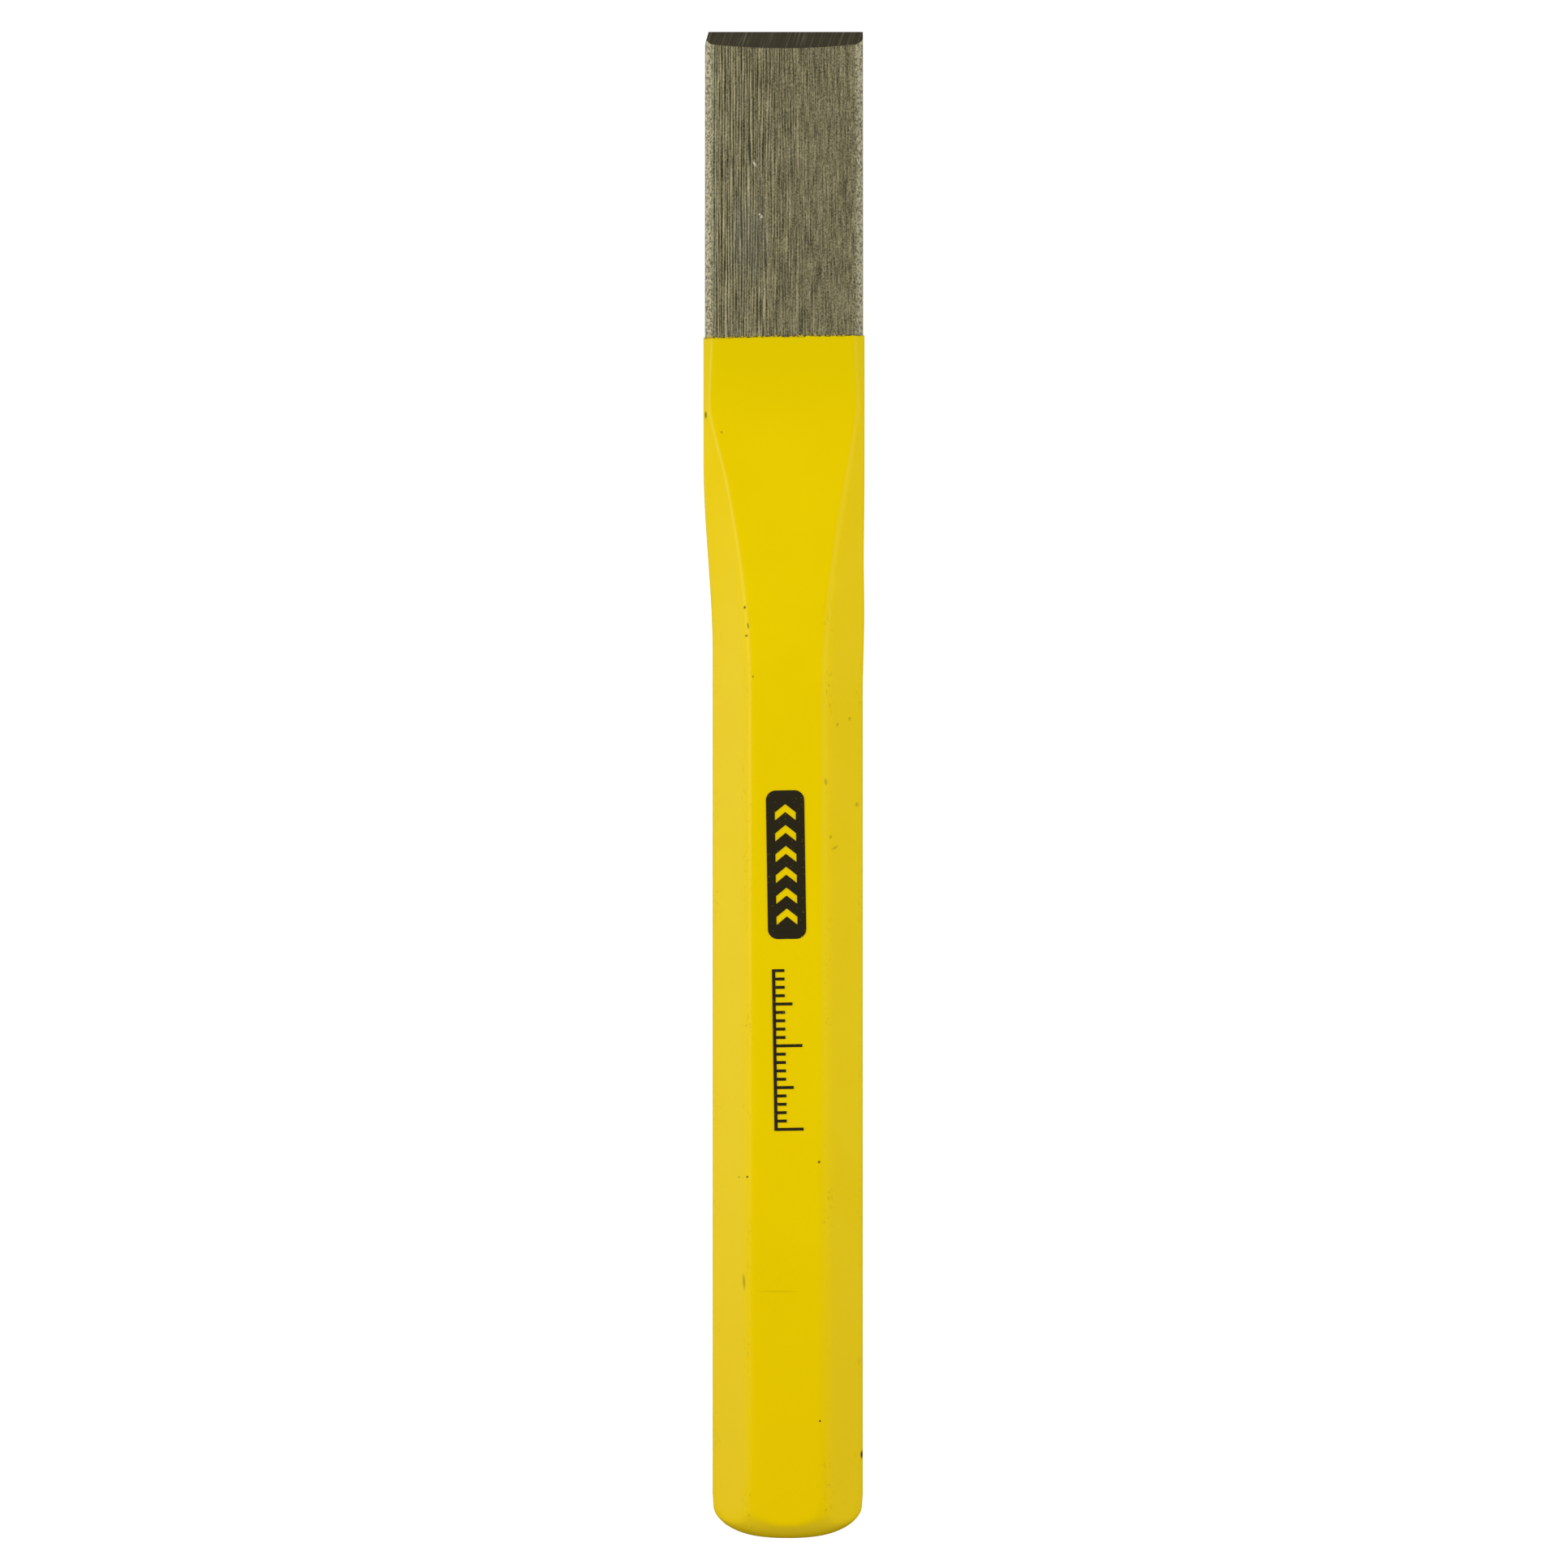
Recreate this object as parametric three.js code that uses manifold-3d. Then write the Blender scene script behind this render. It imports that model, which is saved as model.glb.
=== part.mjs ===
// A 3/4 inch cold chisel, forged from one length of 5/8 inch hexagon steel and lacquered from the
// struck head to just short of the cutting end. Millimetres, +Z up. The tool lies on one flat of its
// shank: +Y runs along it to the cutting edge, and z = 0 is the surface that it lies on.

import * as THREE from 'three';
import { LoftGeometry } from 'three/addons/geometries/LoftGeometry.js';
import { mergeVertices } from 'three/addons/utils/BufferGeometryUtils.js';
import Module from 'manifold-3d';

const { clamp, degToRad, lerp, smoothstep } = THREE.MathUtils;
const INCH = 25.4;

// Driving dimensions. A "station" is a distance back from the cutting edge.
const LENGTH = 181.5;
const STOCK_ACROSS_FLATS = (5 / 8) * INCH;
const STOCK_CORNER_RADIUS = 1.6;
const BLADE_WIDTH = (3 / 4) * INCH;
const BARE_LENGTH = 36.9; // ground steel left bare at the cutting end
const SHANK_OFFSET = 0.45; // the die set the shank this far to the right of the blade

// The blade: a slow wedge with a slight crown across its ground faces and broken long edges.
const EDGE_HALF_THICKNESS = 1.4;
const WEDGE_SLOPE = 0.062;
const CROWN = 0.32;
const BLADE_CORNER_RADIUS = 0.35;
const CORNER_WIDTH = 1.0; // the broken edge, seen on the wide face
const CORNER_DEPTH = 0.95; // and seen on the narrow side
const TIP_CORNER = { width: 0.7, depth: 0.35, length: 12 }; // it is finer at the very end
const NECK_CORNER_WIDTH = 0.55; // and narrowest where the shoulder facets start

// The shoulder, where the blade grows back into the hexagon.
const SHOULDER = { start: 46, end: 80 };
const SWEEP_START = 44; // the wedge turns up towards the flats of the stock here
const WAIST = { start: 52, end: 75 }; // the sides draw in to the stock's width here
const FACET_SHIFT = { start: 44, end: 56 }; // the wide face takes up the shank's offset here
const SWELL = { height: 0.15, station: 71, reach: 9 }; // metal pushed out of the right side

// The cutting edge.
const BEVEL_HALF_ANGLE = degToRad(35);
const EDGE_LAND = 0.12;
const CORNER_RELIEF = { width: 0.42, length: 1.6 }; // ground off the left corner of the edge

// The struck head: a flat crown with an elliptical shoulder turned on the hexagon.
const HEAD_CROWN_RADIUS = 2.2;
const HEAD_SHOULDER = 4.1;

// The lacquer, and the two marks printed on it. A hair of clearance keeps the solids apart.
const LACQUER = 0.15;
const CLEARANCE = 0.02;
const INK = 0.06;
const PRINT_TILT = degToRad(0.9);
const BLOCK = { width: 4.6, length: 17.8, radius: 1.2, fromHead: 81.1, x: -0.2 };
const CHEVRON = { count: 6, pitch: 2.5, span: 2.5, rise: 1.0, thickness: 0.95 };
const SCALE = { millimetres: 19, fromHead: 58.9, x: -1.75, spine: 0.4, tick: 0.36 };
const TICK_LENGTHS = { one: 1.5, five: 2.4, ten: 3.5 };

// Sizes that follow from them.
const LACQUERED = CLEARANCE + LACQUER; // how far the lacquer's outside stands off the steel
const HALF_FLATS = STOCK_ACROSS_FLATS / 2;
const HALF_SIDE = HALF_FLATS * Math.tan(degToRad(30));
const STOCK_SHARP_CORNER = HALF_FLATS / Math.cos(degToRad(30));
const SIDE_LAND = 0.03; // the rounded corner of the stock is finished with a sliver of a flat
const ROUNDED_OFF = STOCK_CORNER_RADIUS * (1 / Math.cos(degToRad(30)) - 1);
const STOCK_HALF_WIDTH = STOCK_SHARP_CORNER - ROUNDED_OFF - SIDE_LAND;
const STOCK_SIDE_HEIGHT = (STOCK_SHARP_CORNER - STOCK_HALF_WIDTH) * Math.tan(degToRad(60));
const MID_Z = HALF_FLATS + LACQUERED;
const TOP_Z = 2 * MID_Z;
const EDGE_Y = LENGTH / 2;
const HEAD_Y = -LENGTH / 2;
const LACQUER_END_Y = EDGE_Y - BARE_LENGTH;

const wasm = await Module();
wasm.setup();

// ---- Solids -------------------------------------------------------------------------------------

function solid(geometry) {
  const bare = new THREE.BufferGeometry();
  bare.setAttribute('position', geometry.attributes.position);
  bare.setIndex(geometry.index);
  const merged = mergeVertices(bare, 1e-5);
  return new wasm.Manifold(new wasm.Mesh({
    numProp: 3,
    vertProperties: merged.attributes.position.array,
    triVerts: new Uint32Array(merged.index.array),
  }));
}

function geometryOf(manifold) {
  const { vertProperties, triVerts } = manifold.getMesh();
  const geometry = new THREE.BufferGeometry();
  geometry.setAttribute('position', new THREE.BufferAttribute(vertProperties, 3));
  geometry.setIndex(new THREE.BufferAttribute(triVerts, 1));
  geometry.computeVertexNormals();
  return geometry;
}

// ---- The forging's shape along its length -------------------------------------------------------

function fall(station, { start, end }, power) {
  return clamp((end - station) / (end - start), 0, 1) ** power;
}

function hermite(u, from, to, slopeFrom) {
  const rise = u * u * (3 - 2 * u);
  const lean = u * (1 - u) * (1 - u);
  return lerp(from, to, rise) + slopeFrom * lean;
}

function halfThickness(station) {
  const s = Math.max(station, 0);
  const reach = SHOULDER.end - SWEEP_START;
  const u = clamp((s - SWEEP_START) / reach, 0, 1);
  const wedge = EDGE_HALF_THICKNESS + WEDGE_SLOPE * Math.min(s, SWEEP_START);
  return hermite(u, wedge, HALF_FLATS, WEDGE_SLOPE * reach);
}

function halfWidth(station) {
  return lerp(BLADE_WIDTH / 2, STOCK_HALF_WIDTH, smoothstep(station, WAIST.start, WAIST.end));
}

function swell(station) {
  const u = clamp(Math.abs(station - SWELL.station) / SWELL.reach, 0, 1);
  return SWELL.height * 0.5 * (1 + Math.cos(Math.PI * u));
}

function cornerWidth(station) {
  const tip = lerp(TIP_CORNER.width, CORNER_WIDTH, smoothstep(station, 0, TIP_CORNER.length));
  return lerp(tip, NECK_CORNER_WIDTH, smoothstep(station, BARE_LENGTH, SHOULDER.start));
}

function cornerDepth(station) {
  return lerp(TIP_CORNER.depth, CORNER_DEPTH, smoothstep(station, 0, TIP_CORNER.length));
}

// Half the width of the wide face: the blade's up to the neck, then drawing in to one side of the
// hexagon.
function faceHalfWidth(station) {
  const blade = BLADE_WIDTH / 2 - cornerWidth(station);
  return lerp(HALF_SIDE, blade, fall(station, SHOULDER, 1.85));
}

// Half the height of the narrow side: the blade's up to the neck, then closing on the stock's corner.
function sideHalfHeight(station) {
  const neck = Math.min(station, SHOULDER.start);
  const blade = halfThickness(neck) - crown(neck) - cornerDepth(neck);
  return lerp(STOCK_SIDE_HEIGHT, blade, fall(station, SHOULDER, 1.3));
}

function crown(station) {
  return CROWN * (1 - smoothstep(station, BARE_LENGTH * 0.6, SHOULDER.start));
}

function cornerRadius(station) {
  return lerp(BLADE_CORNER_RADIUS, STOCK_CORNER_RADIUS, smoothstep(station, 0, SHOULDER.end + 5));
}

// ---- Cross-sections -----------------------------------------------------------------------------

const ARC_STEPS = 2;
const CROWN_STEPS = 4;

// A convex outline with its corners rounded, grown outwards by "grow": each corner becomes an arc
// about a centre set in by the radius, so every growth of one outline shares its centres.
function roundedOutline(corners, radius, grow) {
  const count = corners.length;
  const normals = corners.map((corner, i) => {
    const along = corners[(i + 1) % count].clone().sub(corner).normalize();
    return new THREE.Vector2(along.y, -along.x);
  });
  return corners.flatMap((corner, i) => {
    const before = normals[(i + count - 1) % count];
    const after = normals[i];
    const inset = before.clone().add(after).multiplyScalar(radius / (1 + before.dot(after)));
    const centre = corner.clone().sub(inset);
    const from = before.angle();
    const turn = THREE.MathUtils.euclideanModulo(after.angle() - from, 2 * Math.PI);
    return Array.from({ length: ARC_STEPS + 1 }, (_, k) => {
      const angle = from + (turn * k) / ARC_STEPS;
      return centre.clone().add(
        new THREE.Vector2(Math.cos(angle), Math.sin(angle)).multiplyScalar(radius + grow));
    });
  });
}

// The two wide faces get extra points across them, raised to the crown.
function crownedOutline(outline, faceX, faceHalf, rise) {
  const crowned = [];
  outline.forEach((point, i) => {
    const next = outline[(i + 1) % outline.length];
    crowned.push(point);
    if (Math.abs(next.x - point.x) < faceHalf) return;
    for (let k = 1; k < CROWN_STEPS; k += 1) {
      const across = point.clone().lerp(next, k / CROWN_STEPS);
      const share = 1 - ((across.x - faceX) / faceHalf) ** 2;
      across.y += Math.sign(across.y) * rise * Math.max(share, 0);
      crowned.push(across);
    }
  });
  return crowned;
}

function section(station, grow, rise = crown(station)) {
  const bulge = swell(station);
  const sideX = SHANK_OFFSET * smoothstep(station, WAIST.start, WAIST.end);
  const faceX = SHANK_OFFSET * smoothstep(station, FACET_SHIFT.start, FACET_SHIFT.end);
  const [wide, face] = [halfWidth(station), faceHalfWidth(station)];
  const [high, side] = [halfThickness(station) - rise, sideHalfHeight(station)];
  const corners = [
    [sideX + wide + bulge, -side],
    [sideX + wide + bulge, side],
    [faceX + face, high],
    [faceX - face, high],
    [sideX - wide, side],
    [sideX - wide, -side],
    [faceX - face, -high],
    [faceX + face, -high],
  ].map(([x, z]) => new THREE.Vector2(x, z));
  const outline = roundedOutline(corners, cornerRadius(station), grow);
  const finished = crownedOutline(outline, faceX, face, rise);
  return finished.map(({ x, y }) => new THREE.Vector3(x, EDGE_Y - station, MID_Z + y));
}

// The stations of the loft: a few on the blade, close ones on the shoulder, then the plain stock.
const PAST_END = 2;
const SHOULDER_STEPS = 10;
const BLADE_STATIONS = [-PAST_END, 0, 4, 8, 12, 20, 28, BARE_LENGTH, 41.5];
const SHOULDER_STATIONS = Array.from(
  { length: SHOULDER_STEPS + 1 },
  (_, k) => lerp(SHOULDER.start, SHOULDER.end, k / SHOULDER_STEPS));
const STATIONS = [...BLADE_STATIONS, ...SHOULDER_STATIONS, SHOULDER.end + 5, LENGTH + PAST_END / 2];

// The ring past the head is crowned, because a cap can't be closed over points in a straight run.
function blank(grow, firstStation = STATIONS[0]) {
  const kept = [firstStation, ...STATIONS.filter((station) => station > firstStation)];
  const rings = kept.map((station) => section(station, grow));
  rings.push(section(LENGTH + PAST_END, grow, CROWN));
  return solid(new LoftGeometry(rings, { capStart: true, capEnd: true }));
}

// ---- Cutters ------------------------------------------------------------------------------------

const CUTTER_REACH = 14; // clears the section on every side
const HEAD_STEPS = 6;
const HEAD_SEGMENTS = 36;

// Everything inside the turned end of the head.
function headEnvelope(grow) {
  const inset = LACQUERED - grow;
  const low = HEAD_Y + inset;
  const across = STOCK_HALF_WIDTH + grow + CLEARANCE - HEAD_CROWN_RADIUS;
  const up = HEAD_SHOULDER - inset;
  const shoulder = Array.from({ length: HEAD_STEPS + 1 }, (_, k) => {
    const angle = ((Math.PI / 2) * k) / HEAD_STEPS;
    return new THREE.Vector2(
      HEAD_CROWN_RADIUS + across * Math.sin(angle), low + up * (1 - Math.cos(angle)));
  });
  const profile = [
    new THREE.Vector2(0, low),
    ...shoulder,
    new THREE.Vector2(CUTTER_REACH, low + up),
    new THREE.Vector2(CUTTER_REACH, EDGE_Y + PAST_END),
    new THREE.Vector2(0, EDGE_Y + PAST_END),
  ];
  const turned = new THREE.LatheGeometry(profile, HEAD_SEGMENTS);
  return solid(turned.translate(SHANK_OFFSET, 0, MID_Z));
}

// Everything between the two bevels: an arrow in side view, run across the blade.
function bevelEnvelope() {
  const land = EDGE_LAND / 2;
  const back = (CUTTER_REACH - land) / Math.tan(BEVEL_HALF_ANGLE);
  const arrow = new THREE.Shape([
    new THREE.Vector2(HEAD_Y - PAST_END, -CUTTER_REACH),
    new THREE.Vector2(EDGE_Y - back, -CUTTER_REACH),
    new THREE.Vector2(EDGE_Y, -land),
    new THREE.Vector2(EDGE_Y, land),
    new THREE.Vector2(EDGE_Y - back, CUTTER_REACH),
    new THREE.Vector2(HEAD_Y - PAST_END, CUTTER_REACH),
  ]);
  const run = new THREE.ExtrudeGeometry(arrow, { depth: 2 * CUTTER_REACH, bevelEnabled: false });
  const alongX = new THREE.Matrix4().makeBasis(
    new THREE.Vector3(0, 1, 0), new THREE.Vector3(0, 0, 1), new THREE.Vector3(1, 0, 0));
  return solid(run.applyMatrix4(alongX).translate(-CUTTER_REACH, 0, MID_Z));
}

// The small corner ground off the left end of the cutting edge.
function cornerRelief() {
  const { width, length } = CORNER_RELIEF;
  const left = -BLADE_WIDTH / 2;
  const corner = new THREE.Shape([
    new THREE.Vector2(left - width, EDGE_Y - 2 * length),
    new THREE.Vector2(left, EDGE_Y - length),
    new THREE.Vector2(left + width, EDGE_Y),
    new THREE.Vector2(left + 2 * width, EDGE_Y + length),
    new THREE.Vector2(left - 2 * width, EDGE_Y + length),
  ]);
  return solid(new THREE.ExtrudeGeometry(corner, { depth: TOP_Z, bevelEnabled: false }));
}

// ---- Pieces -------------------------------------------------------------------------------------

function forging() {
  return blank(0).intersect(headEnvelope(0)).intersect(bevelEnvelope()).subtract(cornerRelief());
}

function lacquer() {
  const outside = blank(LACQUERED, BARE_LENGTH).intersect(headEnvelope(LACQUERED));
  const inside = blank(CLEARANCE, BARE_LENGTH - PAST_END).intersect(headEnvelope(CLEARANCE));
  return outside.subtract(inside);
}

function inkFilm(shape, { x, fromHead }) {
  const film = new THREE.ExtrudeGeometry(shape, { depth: INK, bevelEnabled: false });
  film.rotateZ(PRINT_TILT);
  return film.translate(SHANK_OFFSET + x, HEAD_Y + fromHead, TOP_Z + CLEARANCE);
}

// One chevron, pointing to the cutting edge.
function chevron(y) {
  const { span, rise, thickness } = CHEVRON;
  return new THREE.Path([
    new THREE.Vector2(-span / 2, y),
    new THREE.Vector2(-span / 2, y - thickness),
    new THREE.Vector2(0, y + rise - thickness),
    new THREE.Vector2(span / 2, y - thickness),
    new THREE.Vector2(span / 2, y),
    new THREE.Vector2(0, y + rise),
  ]);
}

// A plain black block with a row of chevrons left open in it.
function blockShape() {
  const { width, length, radius } = BLOCK;
  const [x, y] = [width / 2, length / 2];
  const block = new THREE.Shape();
  block.absarc(x - radius, y - radius, radius, 0, Math.PI / 2);
  block.absarc(-x + radius, y - radius, radius, Math.PI / 2, Math.PI);
  block.absarc(-x + radius, -y + radius, radius, Math.PI, Math.PI * 1.5);
  block.absarc(x - radius, -y + radius, radius, Math.PI * 1.5, Math.PI * 2);
  for (let k = 0; k < CHEVRON.count; k += 1) {
    block.holes.push(chevron((k - (CHEVRON.count - 1) / 2) * CHEVRON.pitch));
  }
  return block;
}

function tickLength(millimetre) {
  if (millimetre % 10 === 0) return TICK_LENGTHS.ten;
  return millimetre % 5 === 0 ? TICK_LENGTHS.five : TICK_LENGTHS.one;
}

// A scale as long as the blade is wide: a spine with a tick at each millimetre.
function scaleShape() {
  const { millimetres, spine, tick } = SCALE;
  const start = -(millimetres + tick) / 2;
  const outline = [new THREE.Vector2(0, start), new THREE.Vector2(0, -start)];
  for (let mark = millimetres; mark >= 0; mark -= 1) {
    const low = start + mark;
    const high = low + tick;
    const reach = tickLength(mark);
    if (mark < millimetres) outline.push(new THREE.Vector2(spine, high));
    outline.push(new THREE.Vector2(reach, high), new THREE.Vector2(reach, low));
    if (mark > 0) outline.push(new THREE.Vector2(spine, low));
  }
  return new THREE.Shape(outline);
}

const steel = new THREE.MeshStandardMaterial({ color: 0xaaa691, roughness: 0.42, metalness: 1 });
const yellow = new THREE.MeshStandardMaterial({ color: 0xe8cc02, roughness: 0.45, metalness: 0 });
const black = new THREE.MeshStandardMaterial({ color: 0x2b2820, roughness: 0.6, metalness: 0 });

function piece(name, geometry, material) {
  const mesh = new THREE.Mesh(geometry, material);
  mesh.name = name;
  return mesh;
}

const chisel = new THREE.Group();
chisel.add(piece('chisel_forging', geometryOf(forging()), steel));
chisel.add(piece('lacquer_coat', geometryOf(lacquer()), yellow));
chisel.add(piece('printed_block', inkFilm(blockShape(), BLOCK), black));
chisel.add(piece('printed_scale', inkFilm(scaleShape(), SCALE), black));

export default chisel;
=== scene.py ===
"""Looks for the 3/4 inch cold chisel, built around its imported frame.

The shape code works in millimetres, as the CAD does, and a mesh is turned into metres when it is
made. The tool lies on the floor: +Y runs to the cutting edge and +Z is up. A "station" is a distance
back from the cutting edge. The materials lay out their textures in the same millimetres.
"""

import math

import bpy
import numpy as np
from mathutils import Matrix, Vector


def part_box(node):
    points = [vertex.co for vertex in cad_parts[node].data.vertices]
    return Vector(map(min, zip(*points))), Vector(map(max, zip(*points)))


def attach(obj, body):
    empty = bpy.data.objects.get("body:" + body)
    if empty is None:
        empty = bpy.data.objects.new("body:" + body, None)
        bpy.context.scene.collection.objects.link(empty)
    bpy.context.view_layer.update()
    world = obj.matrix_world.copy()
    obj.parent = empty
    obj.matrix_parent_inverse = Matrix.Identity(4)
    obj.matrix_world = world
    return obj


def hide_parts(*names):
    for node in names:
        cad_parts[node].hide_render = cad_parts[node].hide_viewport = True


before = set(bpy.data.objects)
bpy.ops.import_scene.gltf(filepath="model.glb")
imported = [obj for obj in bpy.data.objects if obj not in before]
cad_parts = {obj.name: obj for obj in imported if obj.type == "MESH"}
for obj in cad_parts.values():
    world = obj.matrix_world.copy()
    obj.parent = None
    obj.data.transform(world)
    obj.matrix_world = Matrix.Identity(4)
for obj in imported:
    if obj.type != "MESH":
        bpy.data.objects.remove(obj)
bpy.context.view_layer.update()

MM = 0.001
INCH = 25.4

# ---- Driving dimensions, in millimetres ---------------------------------------------------------

EDGE_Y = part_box("chisel_forging")[1].y / MM
HEAD_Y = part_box("lacquer_coat")[0].y / MM
FACET_TOP_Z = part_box("lacquer_coat")[1].z / MM
LACQUER_END_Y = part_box("lacquer_coat")[1].y / MM
LENGTH = EDGE_Y - HEAD_Y
MID_Z = FACET_TOP_Z / 2
BARE_LENGTH = EDGE_Y - LACQUER_END_Y

STOCK_ACROSS_FLATS = 5 / 8 * INCH
STOCK_CORNER_RADIUS = 1.6
BLADE_WIDTH = 3 / 4 * INCH
SHANK_OFFSET = 0.45

EDGE_HALF_THICKNESS = 1.4
WEDGE_SLOPE = 0.062
CROWN = 0.32
CROWN_FALL_START = BARE_LENGTH * 0.6
BLADE_CORNER_RADIUS = 0.35
CORNER_WIDTH = 1.0
CORNER_DEPTH = 0.95
TIP_CORNER_WIDTH = 0.7
TIP_CORNER_DEPTH = 0.35
TIP_LENGTH = 12
NECK_CORNER_WIDTH = 0.55

SHOULDER_START = 46
SHOULDER_END = 80
SWEEP_START = 44
WAIST_START, WAIST_END = 52, 75
FACET_SHIFT_START, FACET_SHIFT_END = 44, 56
FACE_POWER, SIDE_POWER = 1.85, 1.3
SWELL_HEIGHT, SWELL_STATION, SWELL_REACH = 0.15, 71, 9
FULL_ROUNDING = SHOULDER_END + 5

BEVEL_HALF_ANGLE = math.radians(35)
EDGE_LAND = 0.12
RELIEF_WIDTH, RELIEF_LENGTH = 0.42, 1.6

HEAD_CROWN_RADIUS = 2.2
HEAD_SHOULDER = 4.1

LACQUER = 0.15
CLEARANCE = 0.02
LACQUERED = LACQUER + CLEARANCE

HALF_FLATS = STOCK_ACROSS_FLATS / 2
HALF_SIDE = HALF_FLATS * math.tan(math.radians(30))
SHARP_CORNER = HALF_FLATS / math.cos(math.radians(30))
SIDE_LAND = 0.03
ROUNDED_OFF = STOCK_CORNER_RADIUS * (1 / math.cos(math.radians(30)) - 1)
STOCK_HALF_WIDTH = SHARP_CORNER - ROUNDED_OFF - SIDE_LAND
STOCK_SIDE_HEIGHT = (SHARP_CORNER - STOCK_HALF_WIDTH) * math.tan(math.radians(60))


# ---- The forging's shape along its length -------------------------------------------------------


def lerp(a, b, t):
    return a + (b - a) * t


def smoothstep(x, start, end):
    t = np.clip((x - start) / (end - start), 0, 1)
    return t * t * (3 - 2 * t)


def fall(station, power):
    """From 1 where the shoulder starts to 0 where it ends, the quicker the higher the power."""
    share = (SHOULDER_END - station) / (SHOULDER_END - SHOULDER_START)
    return np.clip(share, 0, 1) ** power


def half_thickness(station):
    """The blade's wedge, and then a sweep that leaves at its slope and ends level in the shank."""
    s = max(station, 0)
    reach = SHOULDER_END - SWEEP_START
    u = min(max((s - SWEEP_START) / reach, 0), 1)
    wedge = EDGE_HALF_THICKNESS + WEDGE_SLOPE * min(s, SWEEP_START)
    rise = u * u * (3 - 2 * u)
    lean = u * (1 - u) ** 2
    return lerp(wedge, HALF_FLATS, rise) + WEDGE_SLOPE * reach * lean


def half_width(station):
    return lerp(BLADE_WIDTH / 2, STOCK_HALF_WIDTH, smoothstep(station, WAIST_START, WAIST_END))


def swell(station):
    """A slight bulge on the right of the shoulder."""
    u = min(abs(station - SWELL_STATION) / SWELL_REACH, 1)
    return SWELL_HEIGHT * 0.5 * (1 + math.cos(math.pi * u))


def crown(station):
    """How far the middle of a blade face stands above the face's edges."""
    return CROWN * (1 - smoothstep(station, CROWN_FALL_START, SHOULDER_START))


def corner_width(station):
    tip = lerp(TIP_CORNER_WIDTH, CORNER_WIDTH, smoothstep(station, 0, TIP_LENGTH))
    return lerp(tip, NECK_CORNER_WIDTH, smoothstep(station, BARE_LENGTH, SHOULDER_START))


def corner_depth(station):
    return lerp(TIP_CORNER_DEPTH, CORNER_DEPTH, smoothstep(station, 0, TIP_LENGTH))


def face_half_width(station):
    blade = BLADE_WIDTH / 2 - corner_width(station)
    return lerp(HALF_SIDE, blade, fall(station, FACE_POWER))


def side_half_height(station):
    neck = min(station, SHOULDER_START)
    blade = half_thickness(neck) - crown(neck) - corner_depth(neck)
    return lerp(STOCK_SIDE_HEIGHT, blade, fall(station, SIDE_POWER))


def corner_radius(station):
    blend = smoothstep(station, 0, FULL_ROUNDING)
    return lerp(BLADE_CORNER_RADIUS, STOCK_CORNER_RADIUS, blend)


def side_shift(station):
    return SHANK_OFFSET * smoothstep(station, WAIST_START, WAIST_END)


def face_shift(station):
    return SHANK_OFFSET * smoothstep(station, FACET_SHIFT_START, FACET_SHIFT_END)


# ---- Cross-sections -----------------------------------------------------------------------------

ARC_STEPS = 7
WIDE_STEPS = 110
# Where a straight run is divided: close to its ends, so that the flats shade flat.
SIDE_CUTS = (0.05, 0.5, 0.95)
FACET_CUTS = (0.04, 0.2, 0.4, 0.6, 0.8, 0.96)
WIDE_CUTS = tuple(k / WIDE_STEPS for k in range(1, WIDE_STEPS))
RUN_CUTS = (SIDE_CUTS, FACET_CUTS, WIDE_CUTS, FACET_CUTS) * 2


def sharp_corners(station):
    """The eight corners of a section before they are rounded, from the right side round by the top."""
    side_x, face_x = side_shift(station), face_shift(station)
    wide, face = half_width(station), face_half_width(station)
    high, side = half_thickness(station) - crown(station), side_half_height(station)
    right = side_x + wide + swell(station)
    return np.array([
        (right, -side),
        (right, side),
        (face_x + face, high),
        (face_x - face, high),
        (side_x - wide, side),
        (side_x - wide, -side),
        (face_x - face, -high),
        (face_x + face, -high),
    ])


def rounded(corners, radius, grow):
    """A row of points round each corner: an arc of the radius, moved out by so much."""
    along = np.roll(corners, -1, axis=0) - corners
    along /= np.linalg.norm(along, axis=1)[:, None]
    after = np.stack([along[:, 1], -along[:, 0]], axis=1)
    before = np.roll(after, 1, axis=0)
    together = before + after
    centres = corners - together * (radius / (1 + np.sum(before * after, axis=1)))[:, None]
    start = np.arctan2(before[:, 1], before[:, 0])
    turn = np.mod(np.arctan2(after[:, 1], after[:, 0]) - start, 2 * math.pi)
    steps = np.arange(ARC_STEPS + 1) / ARC_STEPS
    angles = start[:, None] + turn[:, None] * steps
    return centres[:, None] + (radius + grow) * np.stack([np.cos(angles), np.sin(angles)], axis=2)


def section(station, grow):
    """The closed outline at one station as (x, z) rows, z from the middle of the thickness."""
    arcs = rounded(sharp_corners(station), corner_radius(station), grow)
    middle, face, rise = face_shift(station), face_half_width(station), crown(station)
    points = []
    for i, cuts in enumerate(RUN_CUTS):
        points.extend(arcs[i])
        begin, end = arcs[i][-1], arcs[(i + 1) % len(arcs)][0]
        for cut in cuts:
            point = lerp(begin, end, cut)
            if cuts is WIDE_CUTS:
                share = 1 - ((point[0] - middle) / face) ** 2
                point[1] += math.copysign(rise * max(share, 0), point[1])
            points.append(point)
    return np.array(points)


# ---- Meshes -------------------------------------------------------------------------------------


def mesh_object(name, vertices_mm, faces, material):
    mesh = bpy.data.meshes.new(name)
    mesh.from_pydata((np.asarray(vertices_mm) * MM).tolist(), [], faces)
    mesh.materials.append(material)
    mesh.update()
    made = bpy.data.objects.new(name, mesh)
    bpy.context.scene.collection.objects.link(made)
    return made


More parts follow.
